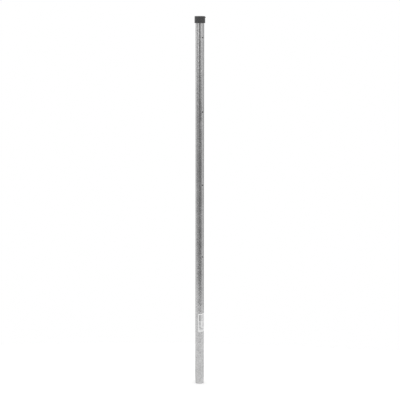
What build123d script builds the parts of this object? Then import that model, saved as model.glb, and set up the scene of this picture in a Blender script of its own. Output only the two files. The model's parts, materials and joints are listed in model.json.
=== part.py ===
from build123d import *
import math
import os

# Corner post for an electric fence: a capped, galvanised steel tube with a column of cross
# holes for the insulators' bolts and an identification label near its foot.
# The origin is the centre of the tube's lower end, +Z runs up the post, and the
# insulator holes open towards -Y. All lengths are in millimetres, all angles in degrees.

# Steel tube
tube_length = 1525.0
tube_diameter = 35.0
tube_wall = 1.5
saw_burr_chamfer = 0.3
weld_bead_height = 0.2
weld_bead_width = 2.2
weld_direction = 0.0

# Cross holes for the insulators
hole_diameter = 5.5
hole_pitch = 300.0
hole_count = 4
hole_drop_from_top = 82.0
hole_direction = -90.0

# Moulded cap
cap_height = 27.0
cap_top_thickness = 3.0
cap_wall = 3.0
cap_bore_clearance = 1.0
cap_draft = 0.75
cap_top_edge_radius = 1.4
cap_mouth_chamfer = 0.5
cap_inner_corner_chamfer = 0.6

# Grip ribs inside the cap
rib_count = 8
rib_width = 1.6
rib_tip_clearance = 0.05
rib_mouth_setback = 3.0
rib_lead_in = 0.7

# Stub left where the cap's moulding gate was cut
gate_diameter = 3.8
gate_reach = 2.0
gate_drop = 5.0
gate_taper = 8.0
gate_direction = -40.0

# Wrapped label
label_width = 38.0
label_height = 78.0
label_thickness = 0.2
label_corner_radius = 4.0
label_bottom = 224.0
adhesive_gap = 0.02

# Shared radii and heights
tube_radius = tube_diameter / 2
bore_radius = tube_radius - tube_wall
cap_bore_radius = tube_radius + cap_bore_clearance
cap_radius = cap_bore_radius + cap_wall
cap_top = tube_length + cap_top_thickness
cap_mouth = cap_top - cap_height
hole_heights = [tube_length - hole_drop_from_top - step * hole_pitch for step in range(hole_count)]


def outward(angle, distance, height):
    """Plane that faces away from the post's axis, with its x round the post and its y up."""
    away = Vector(1, 0, 0).rotate(Axis.Z, angle)
    around = Vector(0, 1, 0).rotate(Axis.Z, angle)
    return Plane(origin=away * distance + Vector(0, 0, height), x_dir=around, z_dir=away)


# The tube is rolled from strip and welded along its length. The weld's outside is planed
# flush, and inside it stays as a low rounded bead. Both sawn ends are deburred.
bead_arc_radius = (weld_bead_width**2 / 4 + weld_bead_height**2) / (2 * weld_bead_height)
with BuildPart() as post_tube:
    with BuildSketch() as tube_section:
        Circle(tube_radius)
        Circle(bore_radius, mode=Mode.SUBTRACT)
        with PolarLocations(bore_radius - weld_bead_height + bead_arc_radius, 1, weld_direction):
            Circle(bead_arc_radius)
        Circle(tube_radius, mode=Mode.INTERSECT)
    extrude(amount=tube_length)
    sawn_ends = post_tube.faces().filter_by(Plane.XY)
    rims = sawn_ends.edges().filter_by(lambda edge: math.isclose(edge.radius, tube_radius))
    chamfer(rims, saw_burr_chamfer)
    with Locations(*[outward(hole_direction, tube_radius, height) for height in hole_heights]):
        Hole(hole_diameter / 2)

# The cap is one moulding that is pushed on until its inner face stops on the tube's end.
# Its skirt stands clear of the zinc all round, and the ribs inside it grip the tube.
cap_draft_inset = cap_height * math.tan(math.radians(cap_draft))
with BuildPart() as cap:
    with BuildSketch(Plane.XZ) as cap_section:
        with BuildLine():
            Polyline(
                (0, cap_top),
                (cap_radius - cap_draft_inset, cap_top),
                (cap_radius, cap_mouth),
                (cap_bore_radius, cap_mouth),
                (cap_bore_radius, tube_length),
                (0, tube_length),
                close=True,
            )
        make_face()
        fillet(cap_section.vertices().group_by(Axis.Y)[-1].sort_by(Axis.X)[-1], cap_top_edge_radius)
        chamfer(cap_section.vertices().group_by(Axis.Y)[0], cap_mouth_chamfer)
        seat_corners = cap_section.vertices().filter_by(lambda corner: math.isclose(corner.Y, tube_length))
        chamfer(seat_corners.sort_by(Axis.X)[-1], cap_inner_corner_chamfer)
    revolve(axis=Axis.Z)
    rib_tip = tube_radius + rib_tip_clearance
    rib_root = cap_bore_radius + cap_wall / 2
    with BuildSketch(Plane.XY.offset(cap_mouth + rib_mouth_setback)) as rib_section:
        with PolarLocations((rib_tip + rib_root) / 2, rib_count):
            Rectangle(rib_root - rib_tip, rib_width)
    extrude(amount=tube_length - cap_mouth - rib_mouth_setback)
    rib_ends = cap.edges().filter_by(lambda edge: math.isclose(edge.length, rib_width, rel_tol=1e-6))
    chamfer(rib_ends.group_by(Axis.Z)[0], rib_lead_in)
    with BuildSketch(outward(gate_direction, cap_radius - cap_wall / 2, cap_top - gate_drop)) as gate_section:
        Circle(gate_diameter / 2)
    extrude(amount=cap_wall / 2 + gate_reach, taper=gate_taper)

# The label is a thin sheet, stuck round the tube and centred under the column of holes.
# Each corner is rounded by a cut whose circle is tangent to the label's two edges.
label_inner_radius = tube_radius + adhesive_gap
label_wrap = math.degrees(label_width / label_inner_radius)
corner_turn = math.degrees(label_corner_radius / label_inner_radius)
corner_reach = label_inner_radius * math.sin(math.radians(corner_turn))
with BuildPart() as label:
    with BuildSketch(Plane.XZ.rotated((0, 0, hole_direction - label_wrap / 2))) as label_section:
        with Locations((label_inner_radius, label_bottom)):
            Rectangle(label_thickness, label_height, align=(Align.MIN, Align.MIN))
    revolve(axis=Axis.Z, revolution_arc=label_wrap)
    for side in (-1, 1):
        for end in (-1, 1):
            corner_angle = hole_direction + side * (label_wrap / 2 - corner_turn)
            corner_height = label_bottom + label_height / 2 + end * (label_height / 2 - corner_reach)
            with BuildSketch(outward(corner_angle, 0, corner_height)) as corner_waste:
                with Locations((side * corner_reach, end * corner_reach)):
                    Rectangle(2 * corner_reach, 2 * corner_reach)
                Circle(corner_reach, mode=Mode.SUBTRACT)
            extrude(amount=tube_diameter, mode=Mode.SUBTRACT)

post_tube.part.label = "post_tube"
cap.part.label = "cap"
label.part.label = "label"

os.makedirs("parts", exist_ok=True)
for piece in (post_tube.part, cap.part, label.part):
    export_step(piece, f"parts/{piece.label}.step")
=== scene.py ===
import json
import math

import bpy
import numpy as np
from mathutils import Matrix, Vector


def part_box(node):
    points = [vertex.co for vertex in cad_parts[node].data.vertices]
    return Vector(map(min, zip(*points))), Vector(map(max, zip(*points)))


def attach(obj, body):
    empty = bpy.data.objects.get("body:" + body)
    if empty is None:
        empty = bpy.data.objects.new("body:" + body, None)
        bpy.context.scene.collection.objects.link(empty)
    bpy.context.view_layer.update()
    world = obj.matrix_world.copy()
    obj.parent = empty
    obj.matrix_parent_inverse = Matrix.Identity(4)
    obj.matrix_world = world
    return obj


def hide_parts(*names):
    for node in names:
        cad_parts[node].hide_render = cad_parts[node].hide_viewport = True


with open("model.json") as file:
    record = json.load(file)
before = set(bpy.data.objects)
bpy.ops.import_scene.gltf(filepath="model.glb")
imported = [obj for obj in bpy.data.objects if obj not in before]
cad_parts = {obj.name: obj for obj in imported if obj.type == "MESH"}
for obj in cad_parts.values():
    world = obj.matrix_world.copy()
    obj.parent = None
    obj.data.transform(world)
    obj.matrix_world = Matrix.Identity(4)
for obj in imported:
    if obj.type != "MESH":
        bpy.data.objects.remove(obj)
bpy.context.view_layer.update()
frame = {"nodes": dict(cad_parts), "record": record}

# Post tube: round steel tube, rolled from galvanised strip and welded along its length at +X.
# Its ends are sawn square and deburred, and four bolt holes are drilled through both walls.
# The weld is planed off outside and zinc-sprayed, and stays as a low rippled bead inside.
tube_radius = 0.0175
tube_wall = 0.0015
bore_radius = tube_radius - tube_wall
tube_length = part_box("post_tube")[1].z
planed_depth = 0.00006
bead_height = 0.00016
bead_width = 0.0022
bead_ripples = [(0.14, 0.0031, 0.0), (0.12, 0.0073, 1.3)]  # share of the height, pace, start
outer_deburr = 0.0003
inner_deburr = 0.0002
hole_rounding = 0.0003
mounts = {mount["name"]: mount for mount in frame["record"]["mounts"]}
upper_holes = mounts["upper_insulator_holes"]
lower_holes = mounts["lower_insulator_holes"]
hole_radius = upper_holes["dims"]["hole_r_mm"] / 1000
hole_pitch = upper_holes["dims"]["spacing_y_mm"] / 1000
pair_middles = [lower_holes["pos_m"][2], upper_holes["pos_m"][2]]
hole_heights = sorted(middle + side * hole_pitch / 2 for middle in pair_middles for side in (-1, 1))
front_and_back = (1.5 * np.pi, 0.5 * np.pi)


def planed_outside(turn):
    """Distance of the outside from the axis: the radius, or the planed flat / cos(turn) if less."""
    held_positive = np.maximum(np.cos(turn), 0.5)
    return np.minimum(tube_radius, (tube_radius - planed_depth) / held_positive)


def beaded_inside(turn, height):
    """Distance of the inside from the axis: the bore less a parabola across the weld.

    The parabola's height swells along the weld by 1 + the sum of share * sin(height / pace + start).
    """
    across = bore_radius * (np.mod(turn + np.pi, 2 * np.pi) - np.pi)
    swell = 1 + sum(share * np.sin(height / pace + start) for share, pace, start in bead_ripples)
    return bore_radius - bead_height * swell * np.clip(1 - (across / (bead_width / 2)) ** 2, 0, None)


def make_piece(name, points, quads, finish):
    """A smooth mesh object at the origin from an array of points and an array of quads."""
    mesh = bpy.data.meshes.new(name)
    mesh.vertices.add(len(points))
    mesh.vertices.foreach_set("co", points.astype(np.float32).ravel())
    mesh.loops.add(quads.size)
    mesh.loops.foreach_set("vertex_index", quads.astype(np.int32).ravel())
    mesh.polygons.add(len(quads))
    mesh.polygons.foreach_set("loop_start", np.arange(0, quads.size, 4, dtype=np.int32))
    mesh.update(calc_edges=True)
    mesh.validate()
    mesh.polygons.foreach_set("use_smooth", np.ones(len(mesh.polygons), bool))
    mesh.materials.append(finish)
    piece = bpy.data.objects.new(name, mesh)
    bpy.context.scene.collection.objects.link(piece)
    return piece


def new_finish(name):
    """A new material and its node tree."""
    finish = bpy.data.materials.new(name)
    finish.use_nodes = True
    return finish, finish.node_tree


def finish_step(tree, kind, inputs=None, **settings):
    """Adds one node: settings are its own choices, inputs are numbers or other nodes' outputs."""
    step = tree.nodes.new(kind)
    for name, value in settings.items():
        setattr(step, name, value)
    for socket, value in (inputs or {}).items():
        if isinstance(value, bpy.types.NodeSocket):
            tree.links.new(value, step.inputs[socket])
        else:
            step.inputs[socket].default_value = value
    return step


def calc(tree, operation, first, second=0.0):
    """The result of one sum on two numbers or outputs."""
    return finish_step(tree, "ShaderNodeMath", {0: first, 1: second}, operation=operation).outputs[0]


def product(tree, first, *others):
    """Numbers or outputs multiplied together."""
    for other in others:
        first = calc(tree, "MULTIPLY", first, other)
    return first


def total(tree, first, *others):
    """Numbers or outputs added together."""
    for other in others:
        first = calc(tree, "ADD", first, other)
    return first


def spread(tree, value, low, high, to_low, to_high):
    """The value carried from the range low..high to to_low..to_high, held at its ends."""
    ends = {"Value": value, "From Min": low, "From Max": high, "To Min": to_low, "To Max": to_high}
    return finish_step(tree, "ShaderNodeMapRange", ends).outputs[0]


def stretched_noise(tree, place, scale, detail=3.0, stretch=(1, 1, 1)):
    """Soft noise from 0 to 1 on the object's own coordinates, first multiplied by stretch."""
    stretched = finish_step(tree, "ShaderNodeMapping", {"Vector": place, "Scale": stretch}).outputs[0]
    noise = finish_step(tree, "ShaderNodeTexNoise", {"Vector": stretched, "Scale": scale, "Detail": detail})
    return noise.outputs["Fac"]


def varied(tree, noise, low, high):
    """Soft noise, which keeps mostly between 0.3 and 0.7, carried to low..high."""
    return spread(tree, noise, 0.3, 0.7, low, high)


def blended(tree, share, first, second):
    """Two colours blended by a share from 0, all the first, to 1, all the second."""
    share_socket, first_socket, second_socket, colour_result = 0, 6, 7, 2
    inputs = {share_socket: share, first_socket: first, second_socket: second}
    return finish_step(tree, "ShaderNodeMix", inputs, data_type="RGBA").outputs[colour_result]


def scaled(tree, three, factor):
    """Three numbers, a colour or a shift, multiplied by one factor."""
    inputs = {0: three, "Scale": factor}
    return finish_step(tree, "ShaderNodeVectorMath", inputs, operation="SCALE").outputs[0]


def minus(tree, three, other):
    """Three numbers, a place or a direction, less another three."""
    return finish_step(tree, "ShaderNodeVectorMath", {0: three, 1: other}, operation="SUBTRACT").outputs[0]


def add_relief(tree, shader, height, strength, depth):
    """Gives the shader a bump of one height pattern, of a depth in metres."""
    bump = finish_step(tree, "ShaderNodeBump", {"Height": height, "Strength": strength, "Distance": depth})
    tree.links.new(bump.outputs[0], shader.inputs["Normal"])


zinc_tint = (0.536, 0.535, 0.537)
spray_tint = (0.57, 0.57, 0.573)
steel_tint = (0.36, 0.35, 0.34)
crystals_in_a_metre = 168.0
feather_reach = 0.005
own_brightness = 0.09
own_gloss = 0.08
zinc_rough = 0.24
spray_dulling = 0.18
steel_dulling = 0.1
facet_slope = 0.04
peel_relief = 1.2
roll_relief = 1.5
saw_relief = 12.0
relief_strength = 0.25
relief_depth = 0.00001
stripe_inner = 0.0024
stripe_outer = 0.0044
stripe_wander = 0.003
stripe_fray = 0.002
along_tube = (1, 1, 0.012)
across_ends = (4000, 90, 90)
halfway = (0.5, 0.5, 0.5)

zinc, tree = new_finish("galvanised_zinc")
shader = tree.nodes["Principled BSDF"]
place = finish_step(tree, "ShaderNodeTexCoord").outputs["Object"]
axes = finish_step(tree, "ShaderNodeSeparateXYZ", {0: place}).outputs
bare = finish_step(tree, "ShaderNodeAttribute", attribute_name="bare").outputs["Fac"]
roll_marks = stretched_noise(tree, place, 900.0, 2.0, along_tube)
clouds = stretched_noise(tree, place, 22.0)
scuffs = stretched_noise(tree, place, 160.0, 4.0, (1, 1, 0.12))
saw_lines = stretched_noise(tree, place, 1.0, 2.0, across_ends)

# crystals are cells of many directions, and a small shift of the coordinates feathers their borders
ripple = finish_step(tree, "ShaderNodeTexNoise", {"Vector": place, "Scale": 260.0, "Detail": 2.0})
feather = scaled(tree, minus(tree, ripple.outputs["Color"], halfway), feather_reach)
warped = finish_step(tree, "ShaderNodeVectorMath", {0: place, 1: feather}).outputs[0]
cells = {"Vector": warped, "Scale": crystals_in_a_metre}
crystal = finish_step(tree, "ShaderNodeTexVoronoi", cells)
spangle = finish_step(tree, "ShaderNodeSeparateColor", {0: crystal.outputs["Color"]}).outputs

# each crystal has its own brightness and fades from its heart, under frost, roll marks and clouds
own_tone = spread(tree, spangle[0], 0, 1, 1 - own_brightness, 1 + own_brightness)
heart = spread(tree, crystal.outputs["Distance"], 0.1, 0.75, 1.05, 0.95)
frost = varied(tree, stretched_noise(tree, warped, 1900.0), 0.96, 1.04)
marks = varied(tree, roll_marks, 0.97, 1.03)
bright = product(tree, own_tone, marks, heart, frost, varied(tree, clouds, 0.95, 1.04))
zinc_colour = scaled(tree, zinc_tint, bright)

# the sprayed stripe over the weld wanders a little, fades at its edges and is finely mottled
wander = product(tree, calc(tree, "SUBTRACT", clouds, 0.5), stripe_wander)
fray = product(tree, calc(tree, "SUBTRACT", scuffs, 0.5), stripe_fray)
off_weld = total(tree, calc(tree, "ABSOLUTE", total(tree, axes["Y"], wander)), fray)
on_weld_side = calc(tree, "GREATER_THAN", axes["X"], 0.0)
sprayed = product(tree, spread(tree, off_weld, stripe_inner, stripe_outer, 0.9, 0), on_weld_side)
mottle = varied(tree, stretched_noise(tree, place, 1100.0), 0.93, 1.07)
mottle = product(tree, mottle, varied(tree, clouds, 0.94, 1.06))
coated = blended(tree, sprayed, zinc_colour, scaled(tree, spray_tint, mottle))

# sawn ends and hole walls are bare steel, with fine lines from the saw
steel = scaled(tree, steel_tint, varied(tree, saw_lines, 0.85, 1.15))
tree.links.new(blended(tree, bare, coated, steel), shader.inputs["Base Color"])
shader.inputs["Metallic"].default_value = 1.0

# gloss changes from crystal to crystal where they show, and clouds, scuffs, spray and steel are duller
crystals_show = calc(tree, "SUBTRACT", 1.0, calc(tree, "MAXIMUM", sprayed, bare))
own_rough = product(tree, spread(tree, spangle[1], 0, 1, -own_gloss, own_gloss), crystals_show)
cloud_rough = spread(tree, clouds, 0.35, 0.7, -0.02, 0.05)
scuff_rough = spread(tree, scuffs, 0.62, 0.72, 0, 0.08)
spray_rough = product(tree, sprayed, spray_dulling)
steel_rough = product(tree, bare, steel_dulling)
rough = total(tree, own_rough, zinc_rough, cloud_rough, scuff_rough, spray_rough, steel_rough)
tree.links.new(rough, shader.inputs["Roughness"])

# each crystal's face leans its own way, and so mirrors a slightly different place: its height is
# the way from the crystal's heart, dotted with a direction of its own
from_heart = minus(tree, place, crystal.outputs["Position"])
own_way = minus(tree, crystal.outputs["Color"], halfway)
lean = finish_step(tree, "ShaderNodeVectorMath", {0: from_heart, 1: own_way}, operation="DOT_PRODUCT")
facets = product(tree, lean.outputs["Value"], crystals_show, facet_slope / (relief_strength * relief_depth))

# relief: grooves between the crystals, a fine orange peel, roll marks, and the saw's lines where bare
borders = finish_step(tree, "ShaderNodeTexVoronoi", cells, feature="DISTANCE_TO_EDGE")
grooves = spread(tree, borders.outputs["Distance"], 0, 0.12, 0, 1)
peel = product(tree, stretched_noise(tree, place, 700.0, 2.0), peel_relief)
rolled = product(tree, roll_marks, roll_relief)
sawn = product(tree, saw_lines, bare, saw_relief)
relief = total(tree, facets, grooves, peel, rolled, sawn)
add_relief(tree, shader, relief, relief_strength, relief_depth)

# columns of points round the tube, closer together at the weld, and rows closer at ends and holes
column_angle = math.radians(2.5)
columns_round = 144
patch_cells = 12
cell = tube_radius * column_angle
row_spacing = 0.015
tiny = 1e-9
weld_turns = np.radians([0.9, 1.8, 3.4, 4.3])
even_turns = np.arange(columns_round) * column_angle
turns = np.sort(np.concatenate([even_turns, weld_turns, 2 * np.pi - weld_turns]))
patch_steps = np.arange(-patch_cells // 2, patch_cells // 2 + 1) * cell
end_rows = np.array([outer_deburr, 0.0007, 0.0016, 0.004, 0.009])
row_groups = [end_rows]
reached = end_rows[-1]
for height in hole_heights + [tube_length]:
    patch_rows = height + patch_steps if height < tube_length else tube_length - end_rows[::-1]
    between = int(round((patch_rows[0] - reached) / row_spacing))
    row_groups += [np.linspace(reached, patch_rows[0], between + 1)[1:-1], patch_rows]
    reached = patch_rows[-1]
row_heights = np.concatenate(row_groups)
rows = len(row_heights)

# section of the tube as one closed line, up the outside, over the top, down the inside and under
# the foot: each run has its heights, distances into the wall, whether it is inside, and bareness
quarter = np.radians([30, 60, 90])
outer_in = outer_deburr * (1 - np.cos(quarter))
outer_up = outer_deburr * (1 - np.sin(quarter))
inner_in = inner_deburr * (1 - np.cos(quarter))
inner_up = inner_deburr * (1 - np.sin(quarter))
turning_bare = np.array([0.3, 1, 1])
inside_heights = row_heights.copy()
inside_heights[0] = inner_deburr
inside_heights[-1] = tube_length - inner_deburr
runs = [
    (row_heights, 0, 0, 0),
    (tube_length - outer_up, outer_in, 0, turning_bare),
    ([tube_length], tube_wall / 2, 0, 1),
    (tube_length - inner_up[::-1], inner_in[::-1], 1, turning_bare[::-1]),
    (inside_heights[::-1], 0, 1, 0),
    (inner_up, inner_in, 1, turning_bare),
    ([0.0], tube_wall / 2, 0, 1),
    (outer_up[::-1], outer_in[::-1], 0, turning_bare[::-1]),
]
section = np.concatenate([np.stack(np.broadcast_arrays(*run), 1) for run in runs])
line_height, into_wall, is_inside, line_bare = section.T[:, :, None]
outside = planed_outside(turns)[None, :] - into_wall
inside = beaded_inside(turns[None, :], line_height) + into_wall
distance = np.where(is_inside > 0, inside, outside)
skin = np.stack([distance * np.cos(turns), distance * np.sin(turns), line_height + 0 * distance], 2)
lines, columns = distance.shape
number = np.arange(lines * columns).reshape(lines, columns)
above = np.roll(number, -1, 0)
skin_quads = np.stack([number, np.roll(number, -1, 1), np.roll(above, -1, 1), above], 2)
kept = np.ones((lines, columns), bool)
outside_line = np.arange(rows)
inside_line = (rows + 2 * len(quarter) + 1 + np.arange(rows))[::-1]

# rings of a hole: shares of the way from the square patch to the circle, then the rim's rounding
ring_shares = np.array([0.3, 0.58, 0.8, 0.93])
rim_out = np.array([hole_rounding, 0.00013, 0.00003, 0.0])
rim_down = np.array([0.0, 0.00004, 0.00014, hole_rounding])
ring_bare = [0, 0, 0, 0, 0, 0.5, 1, 1]


def frame_of_patch(line_of_row, low_row, low_column):
    """The point numbers round a square patch of the skin, anticlockwise from its lower left corner."""
    patch_lines = line_of_row[low_row:low_row + patch_cells + 1]
    block = number[patch_lines, low_column:low_column + patch_cells + 1]
    return np.concatenate([block[0, :-1], block[:-1, -1], block[-1, :0:-1], block[:0:-1, 0]])


def drilled_wall(height, direction, first_number):
    """Rings from a square patch of the outer skin to a circle, through the wall to the inner patch.

    Each ring has one point for every point of the patch's frame. On a skin, a point is the frame's
    point and the circle's point mixed, and its distance along the drill is the root of the skin's
    radius squared less its offset squared. The cells of the skin inside the patch are taken out.
    """
    low_column = np.searchsorted(turns, direction - tiny) - patch_cells // 2
    low_row = np.searchsorted(row_heights, height - tiny) - patch_cells // 2
    outer_frame = frame_of_patch(outside_line, low_row, low_column)
    inner_frame = frame_of_patch(inside_line, low_row, low_column)
    for first_line in (low_row, inside_line[low_row + patch_cells]):
        kept[first_line:first_line + patch_cells, low_column:low_column + patch_cells] = False
    round_hole = np.linspace(-0.75 * np.pi, 1.25 * np.pi, len(outer_frame), endpoint=False)
    circle = np.stack([np.cos(round_hole), np.sin(round_hole)], 1)
    along = np.array([math.cos(direction), math.sin(direction), 0])
    right = np.array([-math.sin(direction), math.cos(direction), 0])
    up = np.array([0, 0, 1.0])
    flat = skin.reshape(-1, 3)
    shares = ring_shares[:, None, None]
    rings = []
    skins = ((outer_frame, tube_radius, -1, 1), (inner_frame, bore_radius, 1, -1))
    for ids, skin_radius, sign, order in skins:
        square = np.stack([flat[ids] @ right, flat[ids, 2] - height], 1)
        on_skin = (1 - shares) * square + shares * (hole_radius + hole_rounding) * circle
        offsets = np.concatenate([on_skin, (hole_radius + rim_out)[:, None, None] * circle])
        depths = np.concatenate([0 * ring_shares, rim_down])[:, None]
        out = np.sqrt(skin_radius ** 2 - offsets[..., 0] ** 2) + sign * depths
        ring = out[..., None] * along + offsets[..., :1] * right + (offsets[..., 1:] + height) * up
        rings.append(ring[::order])
    points = np.concatenate(rings)
    numbers = first_number + np.arange(points.shape[0] * points.shape[1]).reshape(points.shape[:2])
    numbers = np.concatenate([outer_frame[None], numbers, inner_frame[None]])
    onward = np.roll(numbers, -1, 1)
    quads = np.stack([numbers[:-1], onward[:-1], onward[1:], numbers[1:]], 2).reshape(-1, 4)
    return points.reshape(-1, 3), quads, np.repeat(ring_bare + ring_bare[::-1], points.shape[1])


tube_points = [skin.reshape(-1, 3)]
tube_bare = [np.repeat(line_bare, columns)]
wall_quads = []
for height in hole_heights:
    for direction in front_and_back:
        points, quads, bareness = drilled_wall(height, direction, sum(len(group) for group in tube_points))
        tube_points.append(points)
        tube_bare.append(bareness)
        wall_quads.append(quads)
tube_quads = np.concatenate([skin_quads[kept]] + wall_quads)
used_points, renumbered = np.unique(tube_quads, return_inverse=True)
tube_points = np.concatenate(tube_points)[used_points]
tube_bare = np.concatenate(tube_bare)[used_points]
tube = make_piece("galvanised_tube", tube_points, renumbered.reshape(-1, 4), zinc)
bare_attribute = tube.data.attributes.new("bare", "FLOAT", "POINT")
bare_attribute.data.foreach_set("value", tube_bare.astype(np.float32))
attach(tube, "root")
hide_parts("post_tube")

# Cap: black polyethylene moulded in one, pushed over the tube's upper end. It seats on the
# sawn end, and eight ribs inside grip the tube. Its face has a fine moulded grain, and a lighter
# grey band along its top edge is partly rubbed wear and partly a painted highlight.
cap_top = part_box("cap")[1].z
cap_black = (0.052, 0.052, 0.053)
# lighter grey for the rubbed wear and the painted highlight along the cap's top edge
rub_and_highlight_grey = (0.13, 0.13, 0.13, 1)
rub_and_highlight_begins = 0.0036
rub_and_highlight_full = 0.0012
top_face_depth = 0.0002

black, tree = new_finish("black_moulding")
shader = tree.nodes["Principled BSDF"]
place = finish_step(tree, "ShaderNodeTexCoord").outputs["Object"]
axes = finish_step(tree, "ShaderNodeSeparateXYZ", {0: place}).outputs
grain = stretched_noise(tree, place, 2600.0, 2.0)
flow = stretched_noise(tree, place, 70.0, 3.0, (1, 1, 0.5))
rub_and_highlight_noise = stretched_noise(tree, place, 520.0, 5.0, (1, 1, 0.7))
scratches = stretched_noise(tree, place, 60.0, 3.0, (1, 14, 1))
# a band along the top edge, fainter on the top face, lighter for rubbed wear and for a painted highlight;
# scratches anywhere are wear
edge_rub_and_highlight = spread(tree, axes["Z"], cap_top - rub_and_highlight_begins, cap_top - rub_and_highlight_full, 0, 1)
off_top_face = spread(tree, axes["Z"], cap_top - top_face_depth, cap_top, 1, 0.35)
rubs_and_edge_highlight = product(tree, edge_rub_and_highlight, off_top_face, spread(tree, rub_and_highlight_noise, 0.46, 0.62, 0, 1))
rubs_and_edge_highlight = calc(tree, "MAXIMUM", rubs_and_edge_highlight, spread(tree, scratches, 0.68, 0.74, 0, 0.3))
tone = product(tree, varied(tree, flow, 0.92, 1.08), varied(tree, grain, 0.94, 1.06))
black_colour = scaled(tree, cap_black, tone)
cap_colour = blended(tree, product(tree, rubs_and_edge_highlight, 0.4), black_colour, rub_and_highlight_grey)
tree.links.new(cap_colour, shader.inputs["Base Color"])
rough = total(tree, varied(tree, flow, 0.44, 0.52), product(tree, rubs_and_edge_highlight, 0.12))
tree.links.new(rough, shader.inputs["Roughness"])
coarse_grain = product(tree, stretched_noise(tree, place, 500.0, 2.0), 0.8)
add_relief(tree, shader, total(tree, grain, coarse_grain), 0.35, 0.00003)
frame["nodes"]["cap"].material_slots[0].material = black

# Label: white self-adhesive film with round corners and grey print, wrapped by hand round the
# side that faces the holes. The print is plain fields and lines.
label_width = 0.038
label_height = 0.078
label_bottom = 0.224
label_corner = 0.004
label_thickness = 0.0002
adhesive_gap = 0.00002
label_facing = -0.5 * np.pi
corner_points = 9
straight_points = 39
points_up = 27
uv_unit = 0.1

corner_steps = label_corner * (1 - np.cos(np.linspace(0, np.pi / 2, corner_points)))
straight_steps = np.linspace(label_corner, label_width - label_corner, straight_points)[1:-1]
across = np.concatenate([corner_steps, straight_steps, label_width - corner_steps[::-1]])
into_corner = np.clip(label_corner - np.minimum(across, label_width - across), 0, None)
cut_back = label_corner - np.sqrt(label_corner ** 2 - into_corner ** 2)[:, None]
height_on_label = cut_back + np.linspace(0, 1, points_up) * (label_height - 2 * cut_back)
label_turn = label_facing + (across - label_width / 2) / (tube_radius + adhesive_gap)


def wrapped(lift):
    """The sheet at one lift off the tube: angle is distance across / tube radius, height is as cut."""
    reach = tube_radius + lift
    turn = label_turn[:, None] + 0 * height_on_label
    return np.stack([reach * np.cos(turn), reach * np.sin(turn), label_bottom + height_on_label], 2)


face = wrapped(adhesive_gap + label_thickness)
back = wrapped(adhesive_gap)
label_points = np.concatenate([face.reshape(-1, 3), back.reshape(-1, 3)])
sheet_points = height_on_label.size
front = np.arange(sheet_points).reshape(height_on_label.shape)
behind = front + sheet_points
front_quads = np.stack([front[:-1, :-1], front[1:, :-1], front[1:, 1:], front[:-1, 1:]], 2)
back_quads = np.stack([behind[:-1, :-1], behind[:-1, 1:], behind[1:, 1:], behind[1:, :-1]], 2)
rim_front = np.concatenate([front[:-1, 0], front[-1, :-1], front[:0:-1, -1], front[0, :0:-1]])
rim_back = rim_front + sheet_points
rim_quads = np.stack([rim_front, rim_back, np.roll(rim_back, -1), np.roll(rim_front, -1)], 1)
label_quads = np.concatenate([front_quads.reshape(-1, 4), back_quads.reshape(-1, 4), rim_quads])

paper_white = (0.9, 0.9, 0.898)
light_ink = (0.4, 0.4, 0.405, 1)
middle_ink = (0.36, 0.36, 0.365, 1)
dark_ink = (0.30, 0.30, 0.305, 1)
ink_edge = 0.12

film, tree = new_finish("printed_film")
shader = tree.nodes["Principled BSDF"]
place = finish_step(tree, "ShaderNodeTexCoord").outputs["Object"]
flat_place = finish_step(tree, "ShaderNodeUVMap", uv_map="flat_label").outputs[0]
flat_axes = finish_step(tree, "ShaderNodeSeparateXYZ", {0: flat_place}).outputs


def printed_field(tree, left, right, low, high):
    """1 inside one printed rectangle and 0 outside it, in millimetres on the flat label."""
    shares = []
    for axis, start, end in (("X", left, right), ("Y", low, high)):
        millimetres = product(tree, flat_axes[axis], uv_unit * 1000)
        off_middle = calc(tree, "ABSOLUTE", calc(tree, "SUBTRACT", millimetres, (start + end) / 2))
        half = (end - start) / 2
        shares.append(spread(tree, off_middle, half - ink_edge, half + ink_edge, 1, 0))
    return product(tree, *shares)


# printed rectangles as left, right, low and high in millimetres from the label's lower left corner
header = [(4.6, 11.9, 46.6, 72.8)]
header_lines = [(left, right, low, low + 1.6) for low in (70.4, 65.8, 61.2, 56.6, 52.0, 47.4)
                for left, right in ((13.3, 20.4), (24.0, 33.5))]
column_bars = [(4.8, 12.4, low, low + 3.3) for low in (41.0, 35.4, 29.8, 24.2, 18.6)]
side_lines = [(19.5, 33.5, low, low + 1.2) for low in (41.0, 36.4, 31.8, 27.2, 22.6)]
foot_lines = [(6.8, 24.0, 14.8, 16.8), (6.8, 24.0, 10.8, 12.8), (8.6, 13.4, 7.2, 8.8)]
inks = [
    (header, light_ink), (header_lines + side_lines, dark_ink),
    (column_bars, middle_ink), (foot_lines, light_ink),
]
worn_ink = spread(tree, stretched_noise(tree, place, 800.0, 5.0), 0.33, 0.47, 0.86, 1)
printed = scaled(tree, paper_white, varied(tree, stretched_noise(tree, place, 240.0), 0.97, 1.01))
for fields, ink in inks:
    for left, right, low, high in fields:
        inked = product(tree, printed_field(tree, left, right, low, high), worn_ink)
        printed = blended(tree, inked, printed, ink)
tree.links.new(printed, shader.inputs["Base Color"])
rough = varied(tree, stretched_noise(tree, place, 90.0, 2.0), 0.38, 0.5)
tree.links.new(rough, shader.inputs["Roughness"])
wrinkles = stretched_noise(tree, place, 120.0, 2.0)
film_grain = product(tree, stretched_noise(tree, place, 1500.0, 2.0), 0.2)
trapped_air = finish_step(tree, "ShaderNodeTexVoronoi", {"Vector": place, "Scale": 150.0}).outputs["Distance"]
bubbles = spread(tree, trapped_air, 0.0, 0.22, 0.5, 0)
add_relief(tree, shader, total(tree, wrinkles, film_grain, bubbles), 0.35, 0.00012)

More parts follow.
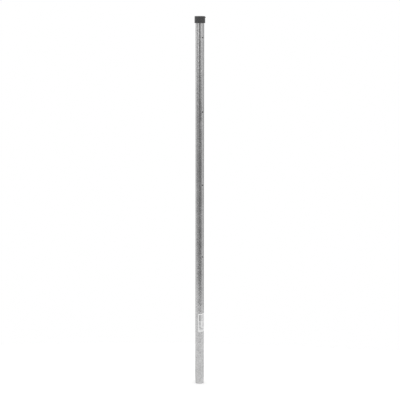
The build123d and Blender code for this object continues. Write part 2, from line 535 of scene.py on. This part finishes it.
label = make_piece("wrapped_label", label_points, label_quads, film)
flat_points = np.stack([across[:, None] + 0 * height_on_label, height_on_label], 2) / uv_unit
flat_points = np.tile(flat_points.reshape(-1, 2), (2, 1))
flat_map = label.data.uv_layers.new(name="flat_label")
flat_map.data.foreach_set("uv", flat_points[label_quads.ravel()].astype(np.float32).ravel())
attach(label, "root")
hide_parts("label")

# Camera: a long lens from a little above the post's top, to the left of the column of holes.
camera_azimuth = math.radians(-39.4)
camera_distance = 5.659
camera_height = 1.779
camera_pitch = math.radians(10.02)
camera_roll = math.radians(-0.06)
aim_left = math.radians(0.0028)
camera_right = np.array([math.cos(camera_azimuth), math.sin(camera_azimuth), 0])
towards_camera = np.array([math.sin(camera_azimuth), -math.cos(camera_azimuth), 0])
camera_data = bpy.data.cameras.new("camera")
camera_data.lens = 126.0
camera_data.sensor_width = 36.0
camera = bpy.data.objects.new("camera", camera_data)
camera.location = towards_camera * camera_distance + [0, 0, camera_height]
camera.rotation_euler = (math.pi / 2 - camera_pitch, camera_roll, camera_azimuth - aim_left)
bpy.context.scene.collection.objects.link(camera)
bpy.context.scene.camera = camera

# Floor: an oval white studio floor, as white as the backdrop to the eye and in reflections. It
# is widest across the camera's view, and reaches furthest to the camera's left.
floor_half_width = 1.9
floor_front_depth = 1.26
floor_back_depth = 0.6
floor_shift_left = 0.3
floor_corners = 96
floor_white = (0.9, 0.9, 0.9, 1)
floor_fill = 0.26
floor_turn = np.linspace(0, 2 * np.pi, floor_corners + 1)[:-1, None]
floor_across = floor_half_width * np.cos(floor_turn) - floor_shift_left
floor_towards = -np.sin(floor_turn)
floor_towards *= np.where(floor_towards > 0, floor_front_depth, floor_back_depth)
floor_edge = floor_across * camera_right + floor_towards * towards_camera
floor_mesh = bpy.data.meshes.new("floor")
floor_mesh.from_pydata(floor_edge.tolist(), [], [list(range(floor_corners))])
floor = bpy.data.objects.new("floor", floor_mesh)
bpy.context.scene.collection.objects.link(floor)

floor_paint, tree = new_finish("white_floor")
shader = tree.nodes["Principled BSDF"]
shader.inputs["Base Color"].default_value = floor_white
shader.inputs["Roughness"].default_value = 0.9
shader.inputs["Specular IOR Level"].default_value = 0.0
shader.inputs["Emission Color"].default_value = (1, 1, 1, 1)
rays = finish_step(tree, "ShaderNodeLightPath").outputs
mirrored_or_through = calc(tree, "MAXIMUM", rays["Is Glossy Ray"], rays["Is Transmission Ray"])
seen = calc(tree, "MAXIMUM", rays["Is Camera Ray"], mirrored_or_through)
tree.links.new(product(tree, seen, floor_fill), shader.inputs["Emission Strength"])
floor_mesh.materials.append(floor_paint)

# Edge card: a light grey card laid on the floor behind the post. The camera doesn't see it, but
# the metal's edges mirror it at the foot, which parts them from the white behind.
card_near = 0.045
card_far = 0.8
card_half_width = 0.36
card_lift = 0.0005
card_grey = (0.66, 0.66, 0.66, 1)
card_across = np.array([-1, 1, 1, -1])[:, None] * card_half_width
card_behind = np.array([card_near, card_near, card_far, card_far])[:, None]
card_corners = card_across * camera_right - card_behind * towards_camera + [0, 0, card_lift]
card_mesh = bpy.data.meshes.new("edge_card")
card_mesh.from_pydata(card_corners.tolist(), [], [[0, 1, 2, 3]])
edge_card = bpy.data.objects.new("edge_card", card_mesh)
bpy.context.scene.collection.objects.link(edge_card)
edge_card.visible_camera = False
edge_card.visible_diffuse = False
edge_card.visible_shadow = False


def glowing(tree, colour):
    """Ends a finish in an even glow of one colour, in place of its shader."""
    glow = finish_step(tree, "ShaderNodeEmission", {"Color": colour})
    tree.links.new(glow.outputs[0], tree.nodes["Material Output"].inputs["Surface"])


card_paint, tree = new_finish("grey_card")
glowing(tree, card_grey)
card_mesh.materials.append(card_paint)

# Studio walls: a ring of grey flats round the post, out of the picture. They are darkest behind
# the camera and light at the sides and behind the post, and the metal mirrors them.
wall_radius = 3.2
wall_low = -1.4
wall_high = 2.6
wall_columns = 180
wall_tones = [  # degrees beside the camera, tone
    (-165, 0.58), (-138, 0.76), (-104, 0.9), (-76, 0.38), (-50, 0.4), (-22, 0.31),
    (12, 0.2), (30, 0.26), (55, 0.46), (78, 0.95), (108, 0.55), (150, 0.43),
]
wall_around = np.linspace(0, 1, wall_columns + 1)
wall_turn = camera_azimuth + 2 * np.pi * (wall_around - 0.5)
wall_ring = wall_radius * np.stack([np.sin(wall_turn), -np.cos(wall_turn), 0 * wall_turn], 1)
wall_points = np.concatenate([wall_ring + [0, 0, wall_low], wall_ring + [0, 0, wall_high]])
foot_left = np.arange(wall_columns)
head_left = foot_left + wall_columns + 1
flat_quads = np.stack([foot_left, foot_left + 1, head_left + 1, head_left], 1)
wall_paint, tree = new_finish("grey_flats")
around = finish_step(tree, "ShaderNodeUVMap", uv_map="around").outputs[0]
way_round = finish_step(tree, "ShaderNodeSeparateXYZ", {0: around}).outputs["X"]
ramp = finish_step(tree, "ShaderNodeValToRGB", {"Fac": way_round})
stops = ramp.color_ramp.elements
stops.remove(stops[1])
for order, (degrees, tone) in enumerate(wall_tones):
    position = degrees / 360 + 0.5
    stop = stops[0] if order == 0 else stops.new(position)
    stop.position = position
    stop.color = (tone, tone, tone, 1)
glowing(tree, ramp.outputs["Color"])
walls = make_piece("studio_walls", wall_points, flat_quads, wall_paint)
wall_map = walls.data.uv_layers.new(name="around")
wall_uv = np.stack([np.tile(wall_around, 2), np.repeat([0.0, 1.0], wall_columns + 1)], 1)
wall_map.data.foreach_set("uv", wall_uv[flat_quads.ravel()].astype(np.float32).ravel())
walls.visible_camera = False

# Softboxes: four soft lamps, two beside the camera and one on each side of the post, hung so high
# that only its upper part mirrors them, and a broad soft fill that the metal doesn't mirror. The
# world is plain white.
lamps = [  # name, degrees beside the camera, distance, low and high edge, width, radiance, mirrored
    ("left_softbox", -43, 2.5, 1.14, 2.4, 1.5, 0.98, True),
    ("right_softbox", 36.6, 2.5, 1.14, 2.4, 1.7, 0.9, True),
    ("side_softbox", -103, 2.5, 1.0, 2.4, 1.1, 0.5, True),
    ("back_softbox", 112, 2.5, 1.12, 2.4, 1.2, 0.14, True),
    ("broad_fill", -5, 3.0, -0.2, 1.4, 3.0, 1.3, False),
]
for name, beside_camera, away, low, high, width, radiance, mirrored in lamps:
    lamp_data = bpy.data.lights.new(name, "AREA")
    lamp_data.shape = "RECTANGLE"
    lamp_data.size = width
    lamp_data.size_y = high - low
    lamp_data.energy = radiance * math.pi * width * (high - low)
    lamp = bpy.data.objects.new(name, lamp_data)
    lamp_turn = camera_azimuth + math.radians(beside_camera)
    lamp.location = (away * math.sin(lamp_turn), -away * math.cos(lamp_turn), (low + high) / 2)
    lamp.rotation_euler = (math.pi / 2, 0, lamp_turn)
    lamp.visible_camera = False
    lamp.visible_glossy = mirrored
    bpy.context.scene.collection.objects.link(lamp)

world = bpy.data.worlds.new("white_studio")
world.use_nodes = True
backdrop = world.node_tree.nodes["Background"]
backdrop.inputs["Color"].default_value = (1, 1, 1, 1)
backdrop.inputs["Strength"].default_value = 1.0
bpy.context.scene.world = world
bpy.context.scene.view_settings.view_transform = "Standard"
